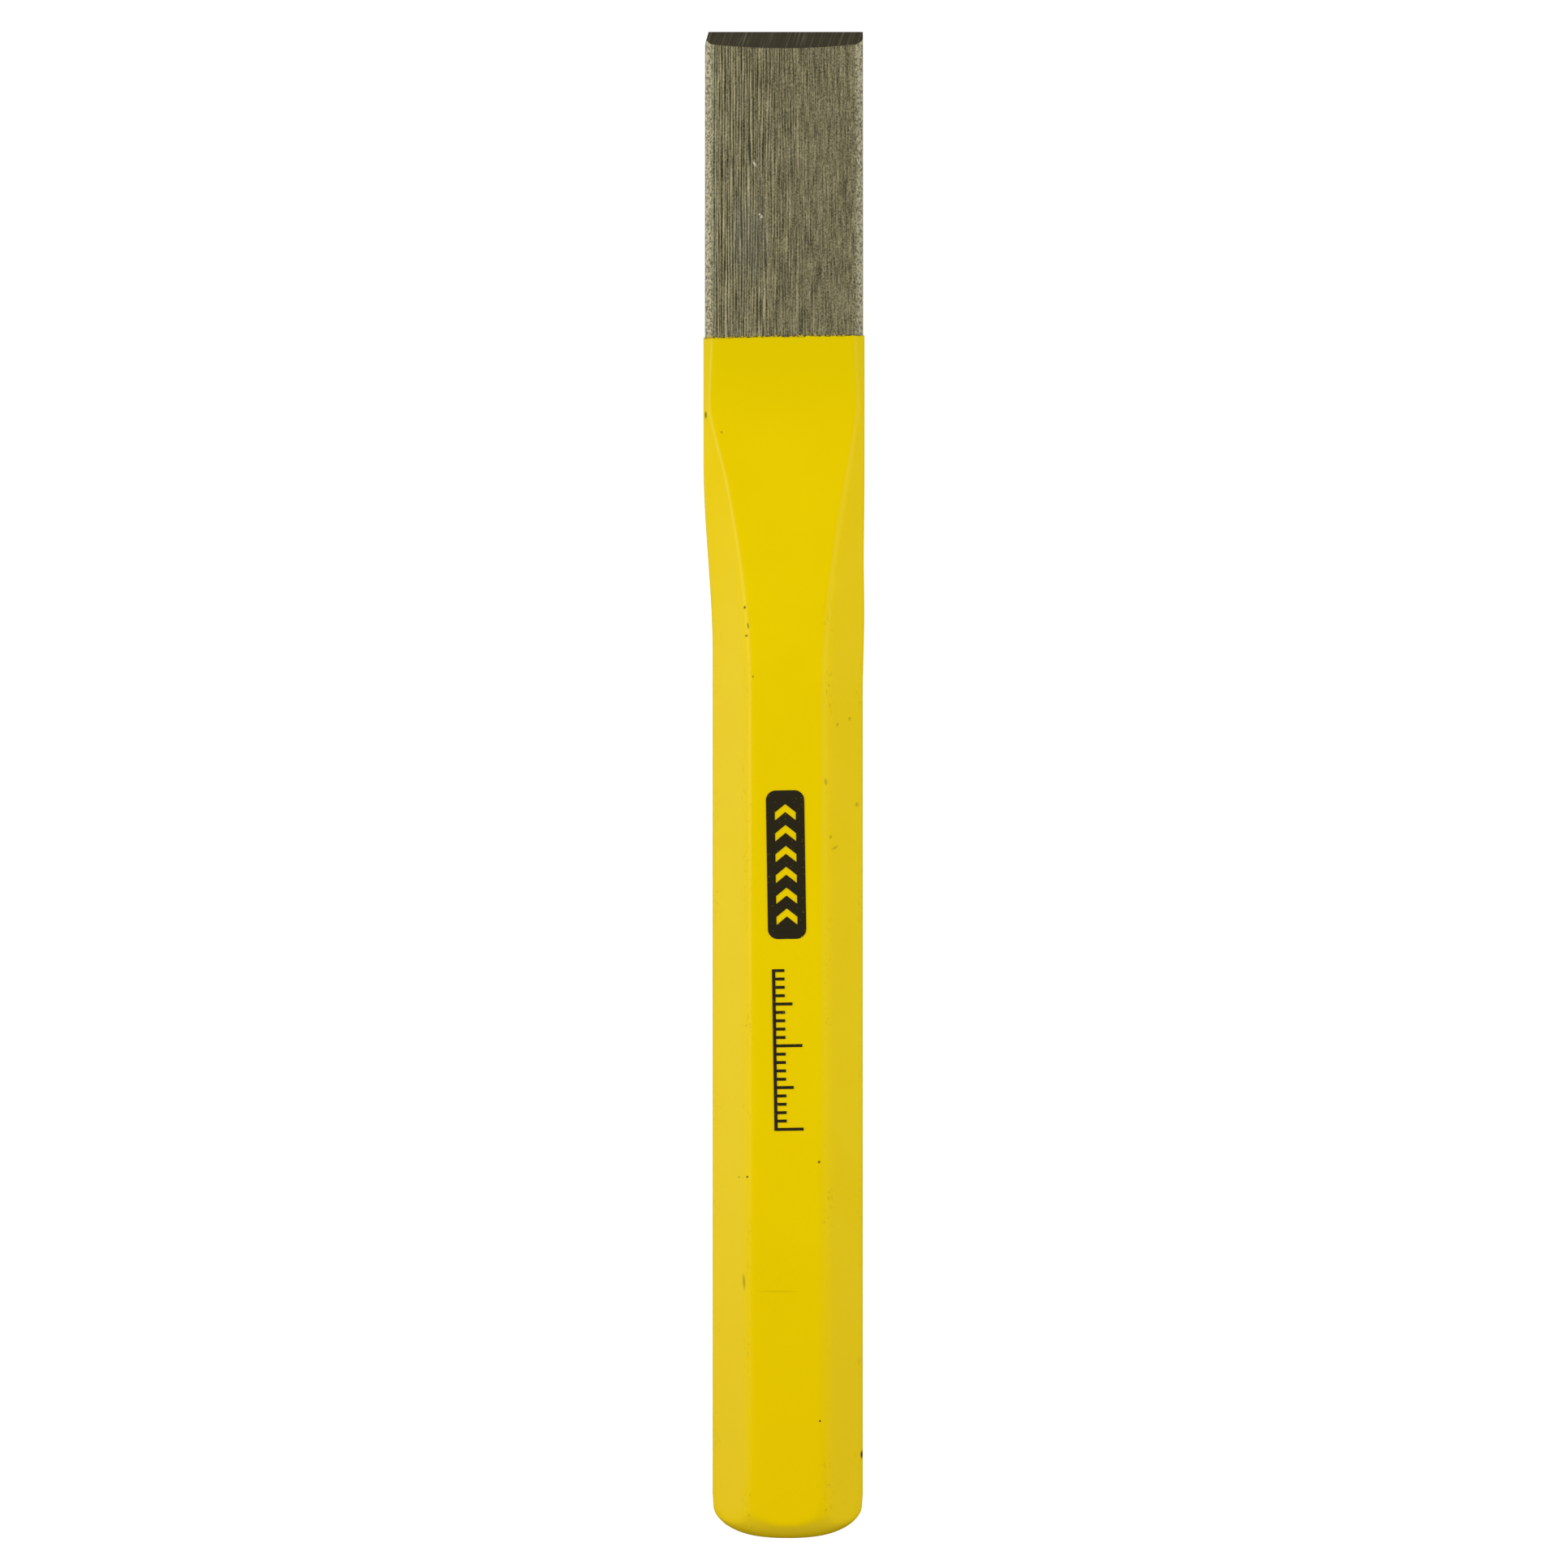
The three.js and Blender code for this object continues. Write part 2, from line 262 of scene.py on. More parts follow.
def grid_faces(rows, columns):
    """Quads over rings of points, each ring closed, facing out when the rings run from the edge."""
    faces = []
    for row in range(rows - 1):
        here, there = row * columns, (row + 1) * columns
        for j in range(columns):
            k = (j + 1) % columns
            faces.append((here + j, here + k, there + k, there + j))
    return faces


def shade(made, sharp_degrees):
    made.data.polygons.foreach_set("use_smooth", [True] * len(made.data.polygons))
    made.data.set_sharp_from_angle(angle=math.radians(sharp_degrees))


def ring_points(outline, stations):
    """One ring: an outline at one station, or at a station for each of its points."""
    y = np.broadcast_to(EDGE_Y - stations, len(outline))
    return np.stack([outline[:, 0], y, MID_Z + outline[:, 1]], axis=1)


def rings(stations, grow):
    return [ring_points(section(s, grow), s) for s in stations]


def closed_grid(name, rows, material):
    """A body from rings of points, closed with a flat cap at each end."""
    columns = len(rows[0])
    faces = grid_faces(len(rows), columns)
    last = (len(rows) - 1) * columns
    faces.append(tuple(range(columns))[::-1])
    faces.append(tuple(range(last, last + columns)))
    return mesh_object(name, np.concatenate(rows), faces, material)


# ---- The struck head ----------------------------------------------------------------------------

CAP_SHARES = (0.66, 0.33)  # the rings inside the flat of the crown, as shares of its radius


def head_rings(grow, steps):
    """The turned end: (station, radius) from where the dome starts to the flat of its crown."""
    inset = LACQUERED - grow
    across = STOCK_HALF_WIDTH + grow + CLEARANCE - HEAD_CROWN_RADIUS
    dome = []
    for k in range(steps + 1):
        angle = math.pi / 2 * (1 - k / steps)
        height = (HEAD_SHOULDER - inset) * (1 - math.cos(angle))
        dome.append((LENGTH - inset - height, HEAD_CROWN_RADIUS + across * math.sin(angle)))
    return dome


def soft_min(a, b, width):
    """The lesser of two lengths, with the corner between them rounded over."""
    h = np.maximum(width - np.abs(a - b), 0) / width
    return np.minimum(a, b) - h * h * width / 4


def turned(outline, radius, softness):
    """An outline cut back to a radius about the shank's axis."""
    centre = np.array([SHANK_OFFSET, 0])
    spokes = outline - centre
    lengths = np.linalg.norm(spokes, axis=1)
    return centre + spokes * (soft_min(lengths, radius, softness) / lengths)[:, None]


def closed_head(grow, steps, softness):
    """The dome's rings, and those inside the flat of its crown."""
    stock = section(LENGTH, grow)
    rows = []
    for station, radius in head_rings(grow, steps):
        rows.append(ring_points(turned(stock, radius, softness), station))
    for share in CAP_SHARES:
        flat = turned(stock, HEAD_CROWN_RADIUS * share, softness * share)
        rows.append(ring_points(flat, station))
    return rows


# ---- The forging --------------------------------------------------------------------------------

CUTTER_REACH = 14  # each way from the axis, past the tool's sides
PAST_END = 2  # how far the blank runs on past the cutting edge, and the bevel's cutter past the head
BLADE_STEP, SHOULDER_STEP = 1.0, 2.0
NECK = 42  # the station where the coarser steps begin
SHOULDER_STOP = SHOULDER_END + 6
SHANK_FIRST, SHANK_LAST = SHOULDER_END + 8, LENGTH - HEAD_SHOULDER - 1


def bevel_cutter(material):
    """An arrow in side view, run across the blade: everything that lies between the two bevels."""
    land = EDGE_LAND / 2
    back = EDGE_Y - (CUTTER_REACH - land) / math.tan(BEVEL_HALF_ANGLE)
    arrow = [(HEAD_Y - PAST_END, -CUTTER_REACH), (back, -CUTTER_REACH), (EDGE_Y, -land)]
    arrow += [(y, -z) for y, z in reversed(arrow)]
    count = len(arrow)
    vertices = [(x, y, MID_Z + z) for x in (-CUTTER_REACH, CUTTER_REACH) for y, z in arrow]
    faces = [tuple(reversed(range(count))), tuple(range(count, 2 * count))]
    for j in range(count):
        k = (j + 1) % count
        faces.append((j, k, count + k, count + j))
    return mesh_object("bevel_cutter", vertices, faces, material)


def relief_cutter(material):
    """The small corner ground off the left end of the cutting edge."""
    left = -BLADE_WIDTH / 2
    outline = [
        (left - RELIEF_WIDTH, EDGE_Y - 2 * RELIEF_LENGTH),
        (left + 2 * RELIEF_WIDTH, EDGE_Y + RELIEF_LENGTH),
        (left - 2 * RELIEF_WIDTH, EDGE_Y + RELIEF_LENGTH),
    ]
    vertices = [(x, y, z) for z in (0, FACET_TOP_Z) for x, y in outline]
    faces = [(2, 1, 0), (3, 4, 5), (0, 1, 4, 3), (1, 2, 5, 4), (2, 0, 3, 5)]
    return mesh_object("relief_cutter", vertices, faces, material)


def cut(body, cutter, operation):
    modifier = body.modifiers.new("cut", "BOOLEAN")
    modifier.operation = operation
    modifier.solver = "EXACT"
    modifier.material_mode = "TRANSFER"
    modifier.object = cutter
    evaluated = body.evaluated_get(bpy.context.evaluated_depsgraph_get())
    result = bpy.data.meshes.new_from_object(evaluated)
    body.modifiers.clear()
    body.data = result
    bpy.data.objects.remove(cutter)


def forging(steel, bevel):
    blade_part = np.arange(1, NECK, BLADE_STEP)
    shoulder_part = np.arange(NECK, SHOULDER_STOP, SHOULDER_STEP)
    shank_part = np.linspace(SHANK_FIRST, SHANK_LAST, num=12)
    rows = rings([-PAST_END, 0, *blade_part, *shoulder_part, *shank_part], grow=0)
    rows += closed_head(grow=0, steps=10, softness=0.05)
    made = closed_grid("chisel_forging_ground", rows, steel)
    made.data.materials.append(bevel)
    cut(made, bevel_cutter(bevel), "INTERSECT")
    cut(made, relief_cutter(bevel), "DIFFERENCE")
    shade(made, sharp_degrees=22)
    return made


# ---- The lacquer --------------------------------------------------------------------------------

LACQUER_EDGE_SLANT = 0.0165  # the masked edge runs a little nearer the tip on the right
LACQUER_EDGE_BACK = 0.12  # how far its middle stands back from the CAD's straight edge
# From the lip of the film back to where it is at its full thickness: (distance, share of it).
LIP = (
    (0.0, 0.5),
    (0.03, 0.8),
    (0.09, 0.95),
    *((distance, 1.0) for distance in (0.2, 0.4, 0.7, 1.1, 1.7, 2.5)),
)
RAGGED_UNTIL, SMOOTH_FROM = 0.3, 2.5  # how far behind the lip its wander starts and ends to fade
COAT_FIRST, COAT_STEP = BARE_LENGTH + 3.3, 0.8  # its rings behind those of the lip
INNER_EDGE_BACK = 0.02  # how far the underside of the film stands back from its lip
# The lip's wander and the chips in it, as (wavelength, height) pairs.
WANDER_SEED, WANDER = 5, ((9.0, 0.05), (2.3, 0.06), (0.45, 0.05))
CHIP_SEED, CHIPS = 11, ((2.6, 0.5), (0.8, 0.2))
CHIP_THRESHOLD, CHIP_DEPTH = 0.25, 0.14


def ragged(distance, seed, waves):
    """Smooth noise along a line: each wave is three sines near its wavelength, at seeded phases."""
    random = np.random.default_rng(seed)
    total = np.zeros_like(distance)
    for wavelength, height in waves:
        for stretch in (1.0, 0.73, 0.58):
            phase = random.uniform(0, 2 * math.pi)
            total += height / 3 * np.sin(2 * math.pi * distance / (wavelength * stretch) + phase)
    return total


def lacquer_edge(outline):
    """The station of the lacquer's end at each point round the blade."""
    around = np.cumsum(np.linalg.norm(outline - np.roll(outline, 1, axis=0), axis=1))
    rough = ragged(around, WANDER_SEED, WANDER)
    chips = np.maximum(ragged(around, CHIP_SEED, CHIPS) - CHIP_THRESHOLD, 0)
    straight = BARE_LENGTH + LACQUER_EDGE_BACK - LACQUER_EDGE_SLANT * outline[:, 0]
    return straight + rough - np.minimum(chips, CHIP_DEPTH)


def lip_rings(edge):
    """The film's rings behind its ragged end, from the lip back to where they run straight."""
    rows = []
    for back, share in LIP:
        follow = 1 - smoothstep(back, RAGGED_UNTIL, SMOOTH_FROM)
        place = lerp(BARE_LENGTH + LACQUER_EDGE_BACK, edge, follow) + back
        rows.append(ring_points(section(BARE_LENGTH + back, LACQUERED * share), place))
    return rows


def lacquer(material):
    edge = lacquer_edge(section(BARE_LENGTH, LACQUERED))
    shoulder_part = np.arange(COAT_FIRST, SHOULDER_STOP, COAT_STEP)
    stations = [*shoulder_part, *np.linspace(SHANK_FIRST, SHANK_LAST, num=44)]
    inside = [ring_points(section(BARE_LENGTH, CLEARANCE), edge + INNER_EDGE_BACK)]
    inside += rings(stations[::2], CLEARANCE)
    inside += closed_head(CLEARANCE, steps=10, softness=0.05)
    outside = lip_rings(edge) + rings(stations, LACQUERED)
    outside += closed_head(LACQUERED, steps=22, softness=0.35)
    made = closed_grid("lacquer_coat_yellow", inside[::-1] + outside, material)
    shade(made, sharp_degrees=60)
    return made


# ---- Building blocks for materials --------------------------------------------------------------


def principled(name):
    material = bpy.data.materials.new(name)
    material.use_nodes = True
    return material, material.node_tree, material.node_tree.nodes["Principled BSDF"]


def is_output(value):
    return isinstance(value, bpy.types.NodeSocket)


def connect(tree, value, socket):
    """Links an output to an input, or sets the input when it is a plain value."""
    if is_output(value):
        tree.links.new(value, socket)
    else:
        socket.default_value = value


def maths(tree, operation, a, b=0.0):
    node = tree.nodes.new("ShaderNodeMath")
    node.operation = operation
    connect(tree, a, node.inputs[0])
    connect(tree, b, node.inputs[1])
    return node.outputs[0]


def plus(tree, a, b):
    return maths(tree, "ADD", a, b)


def minus(tree, a, b):
    return maths(tree, "SUBTRACT", a, b)


def times(tree, a, b):
    return maths(tree, "MULTIPLY", a, b)


def without_sign(tree, a):
    return maths(tree, "ABSOLUTE", a)


def axis_of(tree, vector, axis):
    node = tree.nodes.new("ShaderNodeSeparateXYZ")
    tree.links.new(vector, node.inputs[0])
    return node.outputs[axis]


def millimetres(tree, scale=(1, 1, 1), turn=0.0):
    """Object coordinates in millimetres, turned about Z and then stretched."""
    place = tree.nodes.new("ShaderNodeTexCoord").outputs["Object"]
    if turn:
        spun = tree.nodes.new("ShaderNodeMapping")
        spun.inputs["Rotation"].default_value = (0, 0, turn)
        tree.links.new(place, spun.inputs["Vector"])
        place = spun.outputs["Vector"]
    mapping = tree.nodes.new("ShaderNodeMapping")
    mapping.inputs["Scale"].default_value = [s / MM for s in scale]
    tree.links.new(place, mapping.inputs["Vector"])
    return mapping.outputs["Vector"]


def noise(tree, vector, scale, detail, roughness):
    node = tree.nodes.new("ShaderNodeTexNoise")
    node.inputs["Scale"].default_value = scale
    node.inputs["Detail"].default_value = detail
    node.inputs["Roughness"].default_value = roughness
    tree.links.new(vector, node.inputs["Vector"])
    return node.outputs["Fac"]


def clouds(tree, scale, roughness=0.55):
    """Even noise, with so many cells to the millimetre each way."""
    return noise(tree, millimetres(tree), scale, 2.0, roughness)


def streaks(tree, cells, detail=2.0, roughness=0.6, turn=0.0):
    """Drawn-out noise, with so many cells to the millimetre along X, Y and Z."""
    return noise(tree, millimetres(tree, cells, turn), 1.0, detail, roughness)


def span(tree, value, low, high, to_low=0.0, to_high=1.0):
    """A smooth step from one value to another, as the input goes from low to high."""
    node = tree.nodes.new("ShaderNodeMapRange")
    node.interpolation_type = "SMOOTHSTEP"
    connect(tree, value, node.inputs["Value"])
    node.inputs["From Min"].default_value = low
    node.inputs["From Max"].default_value = high
    node.inputs["To Min"].default_value = to_low
    node.inputs["To Max"].default_value = to_high
    return node.outputs["Result"]


def blend_colours(tree, factor, a, b):
    node = tree.nodes.new("ShaderNodeMix")
    node.data_type = "RGBA"
    connect(tree, factor, node.inputs["Factor"])
    for colour, socket in ((a, "A"), (b, "B")):
        connect(tree, colour if is_output(colour) else (*colour, 1), node.inputs[socket])
    return node.outputs["Result"]


def bumped(tree, height, strength, distance_mm, normal=None):
    node = tree.nodes.new("ShaderNodeBump")
    node.inputs["Strength"].default_value = strength
    node.inputs["Distance"].default_value = distance_mm * MM
    connect(tree, height, node.inputs["Height"])
    if normal is not None:
        tree.links.new(normal, node.inputs["Normal"])
    return node.outputs["Normal"]


def spot(tree, x, station, half_width, half_length, lean):
    """A soft-edged oval on the upper side: 1 at its middle, 0 outside it. The lean is in degrees."""
    node = tree.nodes.new("ShaderNodeMapping")
    node.vector_type = "TEXTURE"
    node.inputs["Location"].default_value = (x * MM, (EDGE_Y - station) * MM, 0)
    node.inputs["Rotation"].default_value = (0, 0, math.radians(lean))
    node.inputs["Scale"].default_value = (half_width * MM, half_length * MM, 1)
    place = tree.nodes.new("ShaderNodeTexCoord").outputs["Object"]
    tree.links.new(place, node.inputs["Vector"])
    reach = tree.nodes.new("ShaderNodeVectorMath")
    reach.operation = "LENGTH"
    tree.links.new(node.outputs["Vector"], reach.inputs[0])
    inside = span(tree, reach.outputs["Value"], 0.3, 1.0, 1.0, 0.0)
    upper = maths(tree, "GREATER_THAN", axis_of(tree, place, "Z"), MID_Z * MM)
    return times(tree, inside, upper)


# ---- The lacquer's look -------------------------------------------------------------------------

YELLOW, YELLOW_CLOUD = (0.78, 0.565, 0.0), (0.795, 0.58, 0.0)
# Painted shade: the coat is blended to these darker yellows towards the head and towards the blade.
SHADED_YELLOW_AT_HEAD, YELLOW_AT_BLADE = (0.76, 0.535, 0.0), (0.72, 0.54, 0.0)
HEAD_FADE, BLADE_FADE = 60, 16  # the stretches over which those two come in
GRIME_COLOUR, GRIME_STRENGTH = (0.30, 0.20, 0.004), 0.35
GRIME_FROM, GRIME_FULL = 66, 74  # the stations between which it sets in, late in the shoulder
TOP_CORNER = HALF_SIDE + 0.3  # the middle of the dirt beside the upper flat, from the shank's axis
OUTLINE_FROM, OUTLINE_FULL = 7.6, 8.8  # where it thickens towards the outline, from the same axis
PIT_COLOUR = (0.09, 0.055, 0.006)

# Chips and scuffs: (x, station, half width, half length, lean, strength).
PITS = (
    (-7.5, 48.5, 0.20, 0.20, 0, 0.5),
    (-9.4, 46.4, 0.18, 0.60, 0, 0.8),
    (-4.7, 69.6, 0.20, 0.24, 0, 0.9),
    (-4.3, 71.8, 0.14, 0.50, 10, 0.7),
    (-4.5, 73.0, 0.24, 0.20, 0, 0.8),
    (-3.7, 77.9, 0.16, 0.20, 0, 0.6),
    (7.9, 82.9, 0.22, 0.30, 0, 0.35),
    (6.4, 83.6, 0.20, 0.30, -20, 0.35),
    (5.0, 90.5, 0.26, 0.60, 10, 0.35),
    (8.8, 93.2, 0.30, 0.40, 0, 0.35),
    (5.6, 97.1, 0.26, 0.30, 0, 0.35),
    (6.1, 98.4, 0.18, 0.60, -60, 0.35),
    (4.2, 136.0, 0.22, 0.24, 0, 0.9),
    (-4.4, 137.8, 0.18, 0.18, 0, 1.0),
    (-5.4, 137.9, 0.14, 0.14, 0, 0.6),
    (-4.8, 150.4, 0.24, 1.30, 4, 0.4),
    (-0.8, 151.5, 3.20, 0.14, 0, 0.15),
    (4.3, 167.0, 0.16, 0.20, 0, 1.0),
    (9.4, 171.6, 0.26, 0.70, 0, 1.0),
)


def pits(tree):
    total = 0.0
    for *oval, strength in PITS:
        total = maths(tree, "MAXIMUM", total, times(tree, spot(tree, *oval), strength))
    return total


def corner_grime(tree, x, y):
    """Specks of dirt that gather in a few stretches along the shank's corners."""
    off_axis = without_sign(tree, minus(tree, x, SHANK_OFFSET))
    from_corner = without_sign(tree, minus(tree, off_axis, TOP_CORNER))
    inner = span(tree, from_corner, 0.2, 0.9, 1.0, 0.0)
    outer = span(tree, off_axis, OUTLINE_FROM, OUTLINE_FULL, 0.1, 0.8)
    stretches = span(tree, clouds(tree, 0.11), 0.48, 0.62)
    shank = span(tree, y, EDGE_Y - GRIME_FULL, EDGE_Y - GRIME_FROM, 1.0, 0.0)
    specks = span(tree, streaks(tree, (2.6, 1.5, 2.0), 3.0, 0.7), 0.54, 0.68)
    where = times(tree, maths(tree, "MAXIMUM", inner, outer), stretches)
    return times(tree, times(tree, where, shank), specks)


def yellows(tree, y, cloud):
    """Slightly cloudy yellow, with painted shade that makes it a little darker at both ends of the
    coat.
    """
    base = blend_colours(tree, span(tree, cloud, 0.3, 0.7), YELLOW, YELLOW_CLOUD)
    # Painted shade, darkening the yellow towards the head and towards the blade.
    painted_shade_to_head = span(tree, y, HEAD_Y, HEAD_Y + HEAD_FADE, 1.0, 0.0)
    base = blend_colours(tree, painted_shade_to_head, base, SHADED_YELLOW_AT_HEAD)
    painted_shade_to_blade = span(tree, y, LACQUER_END_Y - BLADE_FADE, LACQUER_END_Y)
    return blend_colours(tree, painted_shade_to_blade, base, YELLOW_AT_BLADE)


def lacquer_material():
    """Glossy yellow with a faint orange peel, chips, and dirt along its corners."""
    material, tree, shader = principled("yellow_lacquer")
    place = millimetres(tree)
    x = axis_of(tree, place, "X")
    y = axis_of(tree, place, "Y")
    cloud = clouds(tree, 0.09)
    grime = times(tree, corner_grime(tree, x, y), GRIME_STRENGTH)
    marks = pits(tree)
    base = blend_colours(tree, grime, yellows(tree, y, cloud), GRIME_COLOUR)
    base = blend_colours(tree, marks, base, PIT_COLOUR)
    normal = bumped(tree, clouds(tree, 0.55), 0.10, 0.04)
    normal = bumped(tree, clouds(tree, 4.0), 0.08, 0.01, normal)
    normal = bumped(tree, minus(tree, 1.0, marks), 0.8, 0.06, normal)
    tree.links.new(base, shader.inputs["Base Color"])
    tree.links.new(normal, shader.inputs["Normal"])
    tree.links.new(span(tree, cloud, 0.2, 0.8, 0.19, 0.25), shader.inputs["Roughness"])
    shader.inputs["Specular IOR Level"].default_value = 0.17
    return material


# ---- The steel's look ---------------------------------------------------------------------------

LINE_SPACING = 0.33
LINE_WANDER = 16.0  # radians
LINE_FADE_FROM, LINE_FADE_TO, LINE_FADE_WANDER = -2.5, 10.0, 8.0  # across the blade, left to right
LINE_HEIGHT_LEFT, LINE_HEIGHT_RIGHT = 2.8, 0.3
GRAIN_HEIGHT = 1.9
STRIP_FROM, STRIP_FULL = 8.8, 9.5  # the slanted corner of the blade, from its middle
SIDE_FROM, SIDE_FULL = 9.40, 9.51  # the narrow side past it
STEEL_DARK, STEEL_LIGHT = (0.070, 0.061, 0.028), (0.93, 0.835, 0.475)
COOL_COLOUR, COOL_STRENGTH = (0.21, 0.235, 0.21), 0.22
COOL_PATCH = (-4.3, 25.0, 3.4, 6.5, 0)  # an oval in the form that NICKS has
# Partly painted highlight: the corners are made lighter for the side light they catch, over their own
# pebbly grain.
CORNER_DARK, CORNER_LIGHT = (0.26, 0.22, 0.11), (1.0, 0.93, 0.62)
SIDE_DARK, SIDE_LIGHT = (0.42, 0.37, 0.21), (0.64, 0.58, 0.36)
NICK_COLOUR = (1.0, 0.93, 0.68)
# Bright dents in the blade: (x, station, half width, half length, lean).
NICKS = (
    (-3.55, 16.1, 0.20, 0.50, 25),
    (-2.70, 22.5, 0.22, 0.28, 0),
    (-2.95, 22.2, 0.16, 0.18, 30),
)
EDGE_SHADE_COLOUR, EDGE_SHADE_STRENGTH = (0.07, 0.06, 0.01), 0.6
EDGE_SHADE_FROM, EDGE_SHADE_FULL = -0.35, -0.05  # in front of the lacquer's end
FLECK_COLOUR = YELLOW_AT_BLADE
BEVEL_DARK, BEVEL_LIGHT = (0.32, 0.282, 0.18), (0.75, 0.68, 0.45)
SCRATCH_TURN = math.radians(18)


def grinding_lines(tree, x):
    """Wavering ridges along the blade, from -1 to 1."""
    wander = times(tree, streaks(tree, (1.5, 0.05, 0.3)), LINE_WANDER)
    phase = plus(tree, times(tree, x, 2 * math.pi / LINE_SPACING), wander)
    depth = span(tree, streaks(tree, (2.6, 0.11, 0.3), 1.0, 0.5), 0.3, 0.7, 0.35, 1.0)
    return times(tree, maths(tree, "SINE", phase), depth)


def ground_relief(tree, x, patches, grain):
    """Height of a ground face: lines that fade out to the right, over a fine grain."""
    reach = plus(tree, x, times(tree, patches, LINE_FADE_WANDER))
    fade = (LINE_FADE_FROM, LINE_FADE_TO, LINE_HEIGHT_LEFT, LINE_HEIGHT_RIGHT)
    lines = times(tree, grinding_lines(tree, x), span(tree, reach, *fade))
    fine = span(tree, streaks(tree, (7.0, 0.3, 1.0)), 0.1, 0.9, -GRAIN_HEIGHT, GRAIN_HEIGHT)
    coarse = span(tree, grain, 0.1, 0.9, -GRAIN_HEIGHT, GRAIN_HEIGHT)
    return plus(tree, plus(tree, lines, fine), coarse)


def ground_colour(tree, x, patches, height):
    """Colour of a ground face: light on its ridges, partly the grind's own tone and partly a painted
    highlight on its relief, and a little lighter at its left edge.
    """
    # The relief's height lightens the colour: partly real tone, partly painted highlights on the
    # ridges and on glints of the grain.
    tone = plus(tree, height, span(tree, patches, 0.2, 0.8, -0.2, 0.2))
    tone = plus(tree, tone, span(tree, x, -9.0, -3.5, 0.45, -0.05))
    face = blend_colours(tree, span(tree, tone, -3.0, 5.5), STEEL_DARK, STEEL_LIGHT)
    cool = times(tree, spot(tree, *COOL_PATCH), COOL_STRENGTH)
    return blend_colours(tree, cool, face, COOL_COLOUR)


def side_colour(tree, aside):
    """Colour of the blade's slanted corners, and of the narrow sides between them. The corners' light
    tone is partly their own pebbly grain and partly a painted highlight for the side light they catch.
    """
    pebbles = span(tree, streaks(tree, (3.4, 2.8, 3.4)), 0.3, 0.62)
    corner = blend_colours(tree, pebbles, CORNER_DARK, CORNER_LIGHT)
    side = blend_colours(tree, pebbles, SIDE_DARK, SIDE_LIGHT)
    return blend_colours(tree, span(tree, aside, SIDE_FROM, SIDE_FULL), corner, side)


def past_lacquer_edge(tree, x, y):
    """How far a point lies behind the lacquer's end, which is less than 0 on bare steel."""
    slant = times(tree, x, LACQUER_EDGE_SLANT)
    behind = plus(tree, times(tree, y, -1.0), slant)
    return plus(tree, behind, EDGE_Y - BARE_LENGTH - LACQUER_EDGE_BACK)


def steel_material():
    """Ground steel, with nicks, light corners, and flecks of paint next to the lacquer. The light
    ridges and corners are partly painted highlights.
    """
    material, tree, shader = principled("ground_steel")
    place = millimetres(tree)
    x = axis_of(tree, place, "X")
    y = axis_of(tree, place, "Y")
    patches = clouds(tree, 0.30, 0.6)
    grain = streaks(tree, (6.0, 4.2, 6.0))
    height = ground_relief(tree, x, patches, grain)
    aside = without_sign(tree, x)
    on_corner = span(tree, plus(tree, aside, grain), STRIP_FROM, STRIP_FULL)
    face = ground_colour(tree, x, patches, height)
    base = blend_colours(tree, on_corner, face, side_colour(tree, aside))
    for nick in NICKS:
        base = blend_colours(tree, spot(tree, *nick), base, NICK_COLOUR)
    past_edge = past_lacquer_edge(tree, x, y)
    shade_line = (EDGE_SHADE_FROM, EDGE_SHADE_FULL, 0.0, EDGE_SHADE_STRENGTH)
    base = blend_colours(tree, span(tree, past_edge, *shade_line), base, EDGE_SHADE_COLOUR)
    flecks = plus(tree, streaks(tree, (3.0, 4.0, 3.0)), times(tree, past_edge, 0.5))
    flecks = span(tree, flecks, 0.46, 0.52)
    base = blend_colours(tree, flecks, base, FLECK_COLOUR)
    tree.links.new(base, shader.inputs["Base Color"])
    tree.links.new(bumped(tree, height, 1.0, 0.04), shader.inputs["Normal"])
    tree.links.new(span(tree, flecks, 0.0, 1.0, 0.6, 0.0), shader.inputs["Metallic"])
    shader.inputs["Roughness"].default_value = 0.42
    return material


def bevel_material():
    """A finer grind, with its scratches across the edge at a slant."""
    material, tree, shader = principled("ground_bevel")
    scratches = streaks(tree, (4.2, 0.12, 0.2), 2.0, 0.5, SCRATCH_TURN)
    faint = span(tree, streaks(tree, (0.5, 0.4, 0.3), 2.0, 0.5), 0.3, 0.7, 0.25, 1.0)
    light = times(tree, span(tree, scratches, 0.48, 0.70), faint)
    base = blend_colours(tree, light, BEVEL_DARK, BEVEL_LIGHT)
    tree.links.new(base, shader.inputs["Base Color"])
    tree.links.new(bumped(tree, scratches, 0.3, 0.03), shader.inputs["Normal"])
    shader.inputs["Metallic"].default_value = 1.0
    shader.inputs["Roughness"].default_value = 0.38
    return material


# ---- The ink's look -----------------------------------------------------------------------------

INK, INK_GAP = (0.019, 0.015, 0.006), (0.60, 0.46, 0.01)


def ink_material():
    """Black, with pinholes that show the yellow under it."""
    material, tree, shader = principled("black_ink")
    pinholes = span(tree, clouds(tree, 5.0, 0.7), 0.70, 0.74)
    tree.links.new(blend_colours(tree, pinholes, INK, INK_GAP), shader.inputs["Base Color"])
    shader.inputs["Roughness"].default_value = 0.5
    shader.inputs["Specular IOR Level"].default_value = 0.3
    return material


# ---- The studio, in metres ----------------------------------------------------------------------

FRAME_MM = 189.2  # what the picture takes in, at the middle of the tool's thickness
CAMERA_DISTANCE = 1.0
SENSOR = 36
SOFTBOX_Y = 0.28  # towards the blade and past it, so that their reflections fade before the head
FILL_DISTANCE = 1.2
FLOOR_REACH = 30.0
SKY_AT_HORIZON, SKY_OVERHEAD = 0.15, 0.03
GLOW_BELOW_LEFT = 0.5


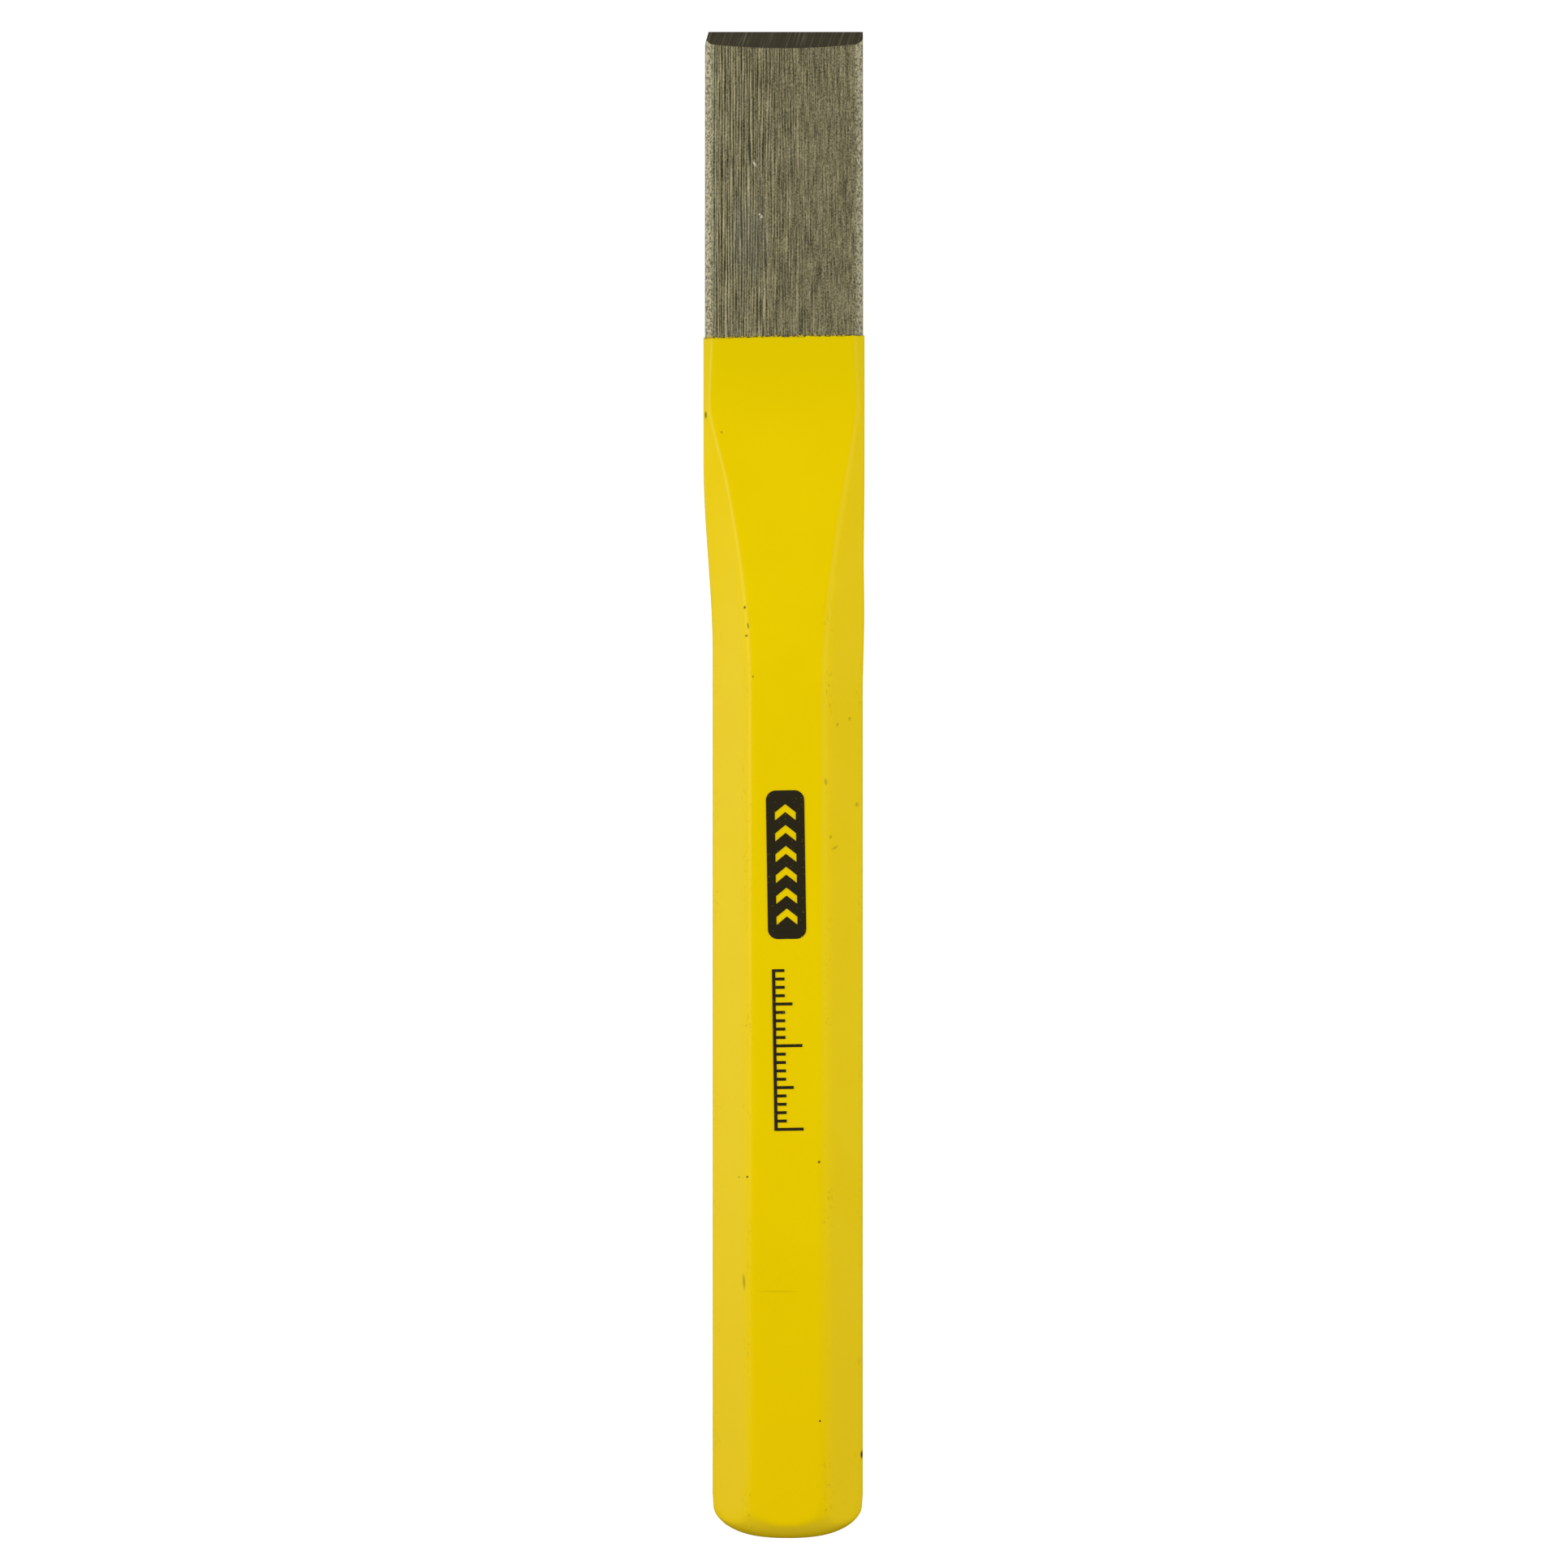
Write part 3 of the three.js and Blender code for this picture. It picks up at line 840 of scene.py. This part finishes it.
def camera():
    data = bpy.data.cameras.new("camera")
    data.sensor_width = SENSOR
    data.lens = SENSOR * CAMERA_DISTANCE / (FRAME_MM * MM)
    made = bpy.data.objects.new("camera", data)
    made.location = (0, 0, CAMERA_DISTANCE + MID_Z * MM)
    bpy.context.scene.collection.objects.link(made)
    bpy.context.scene.camera = made


def softbox(name, lean, distance, size, watts, y=0.0):
    """An area light that leans from the vertical towards +X, moved along the tool by y."""
    data = bpy.data.lights.new(name, "AREA")
    data.shape = "RECTANGLE"
    data.size, data.size_y = size
    data.energy = watts
    made = bpy.data.objects.new(name, data)
    angle = math.radians(lean)
    made.location = (distance * math.sin(angle), y, distance * math.cos(angle))
    made.rotation_euler = (0, angle, 0)
    made.visible_camera = False
    bpy.context.scene.collection.objects.link(made)
    return made


def fill(name, lean, size, watts):
    """A light that brightens surfaces and is left out of their reflections."""
    made = softbox(name, lean, FILL_DISTANCE, size, watts)
    made.visible_glossy = False
    made.data.cycles.use_multiple_importance_sampling = False


def sky(tree):
    """The world's strength: dim overhead, so that flats seen from above mirror almost nothing.

    Below the horizon it is black but for a glow on the left, which the left facets mirror.
    """
    direction = tree.nodes.new("ShaderNodeTexCoord").outputs["Generated"]
    x = axis_of(tree, direction, "X")
    y = axis_of(tree, direction, "Y")
    up = axis_of(tree, direction, "Z")
    above = span(tree, up, 0.55, 0.92, SKY_AT_HORIZON, SKY_OVERHEAD)
    below = span(tree, x, -0.85, -0.45, GLOW_BELOW_LEFT, 0.0)
    below = times(tree, below, span(tree, y, -0.1, -0.04))
    lower = span(tree, up, -0.05, 0.05, 1.0, 0.0)
    return plus(tree, above, times(tree, lower, minus(tree, below, above)))


def floor():
    """A white light table, left out of reflections so that they show the dimmer world below it."""
    corners = [(x * FLOOR_REACH, y * FLOOR_REACH, 0) for x, y in ((-1, -1), (1, -1), (1, 1), (-1, 1))]
    material, tree, shader = principled("floor_white")
    shader.inputs["Base Color"].default_value = (0.5, 0.5, 0.5, 1)
    shader.inputs["Roughness"].default_value = 0.9
    shader.inputs["Emission Color"].default_value = (1, 1, 1, 1)
    shader.inputs["Emission Strength"].default_value = 0.7
    material.cycles.emission_sampling = "NONE"
    made = mesh_object("floor", np.array(corners) / MM, [(0, 1, 2, 3)], material)
    made.visible_glossy = False


def studio():
    scene = bpy.context.scene
    scene.view_settings.view_transform = "Standard"
    world = bpy.data.worlds.new("studio")
    world.use_nodes = True
    world.cycles.sampling_method = "NONE"
    background = world.node_tree.nodes["Background"]
    background.inputs["Color"].default_value = (1, 1, 1, 1)
    world.node_tree.links.new(sky(world.node_tree), background.inputs["Strength"])
    scene.world = world
    fill("overhead_fill", lean=0, size=(0.8, 0.8), watts=9.8)
    fill("left_fill", lean=-70, size=(0.8, 1.2), watts=2.5)
    fill("right_fill", lean=70, size=(0.8, 1.2), watts=2.5)
    softbox("left_softbox", lean=-62, distance=1.0, size=(0.5, 0.7), watts=3.16, y=SOFTBOX_Y)
    softbox("right_softbox", lean=50, distance=1.0, size=(0.9, 0.7), watts=2.24, y=SOFTBOX_Y)


# ---- Everything together ------------------------------------------------------------------------

camera()
studio()
floor()

steel = steel_material()
bevel = bevel_material()
yellow = lacquer_material()
ink = ink_material()

blade = forging(steel, bevel)
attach(blade, "root")
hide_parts("chisel_forging")

coat = lacquer(yellow)
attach(coat, "root")
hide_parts("lacquer_coat")

for name in ("printed_block", "printed_scale"):
    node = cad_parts[name]
    node.data.materials.clear()
    node.data.materials.append(ink)
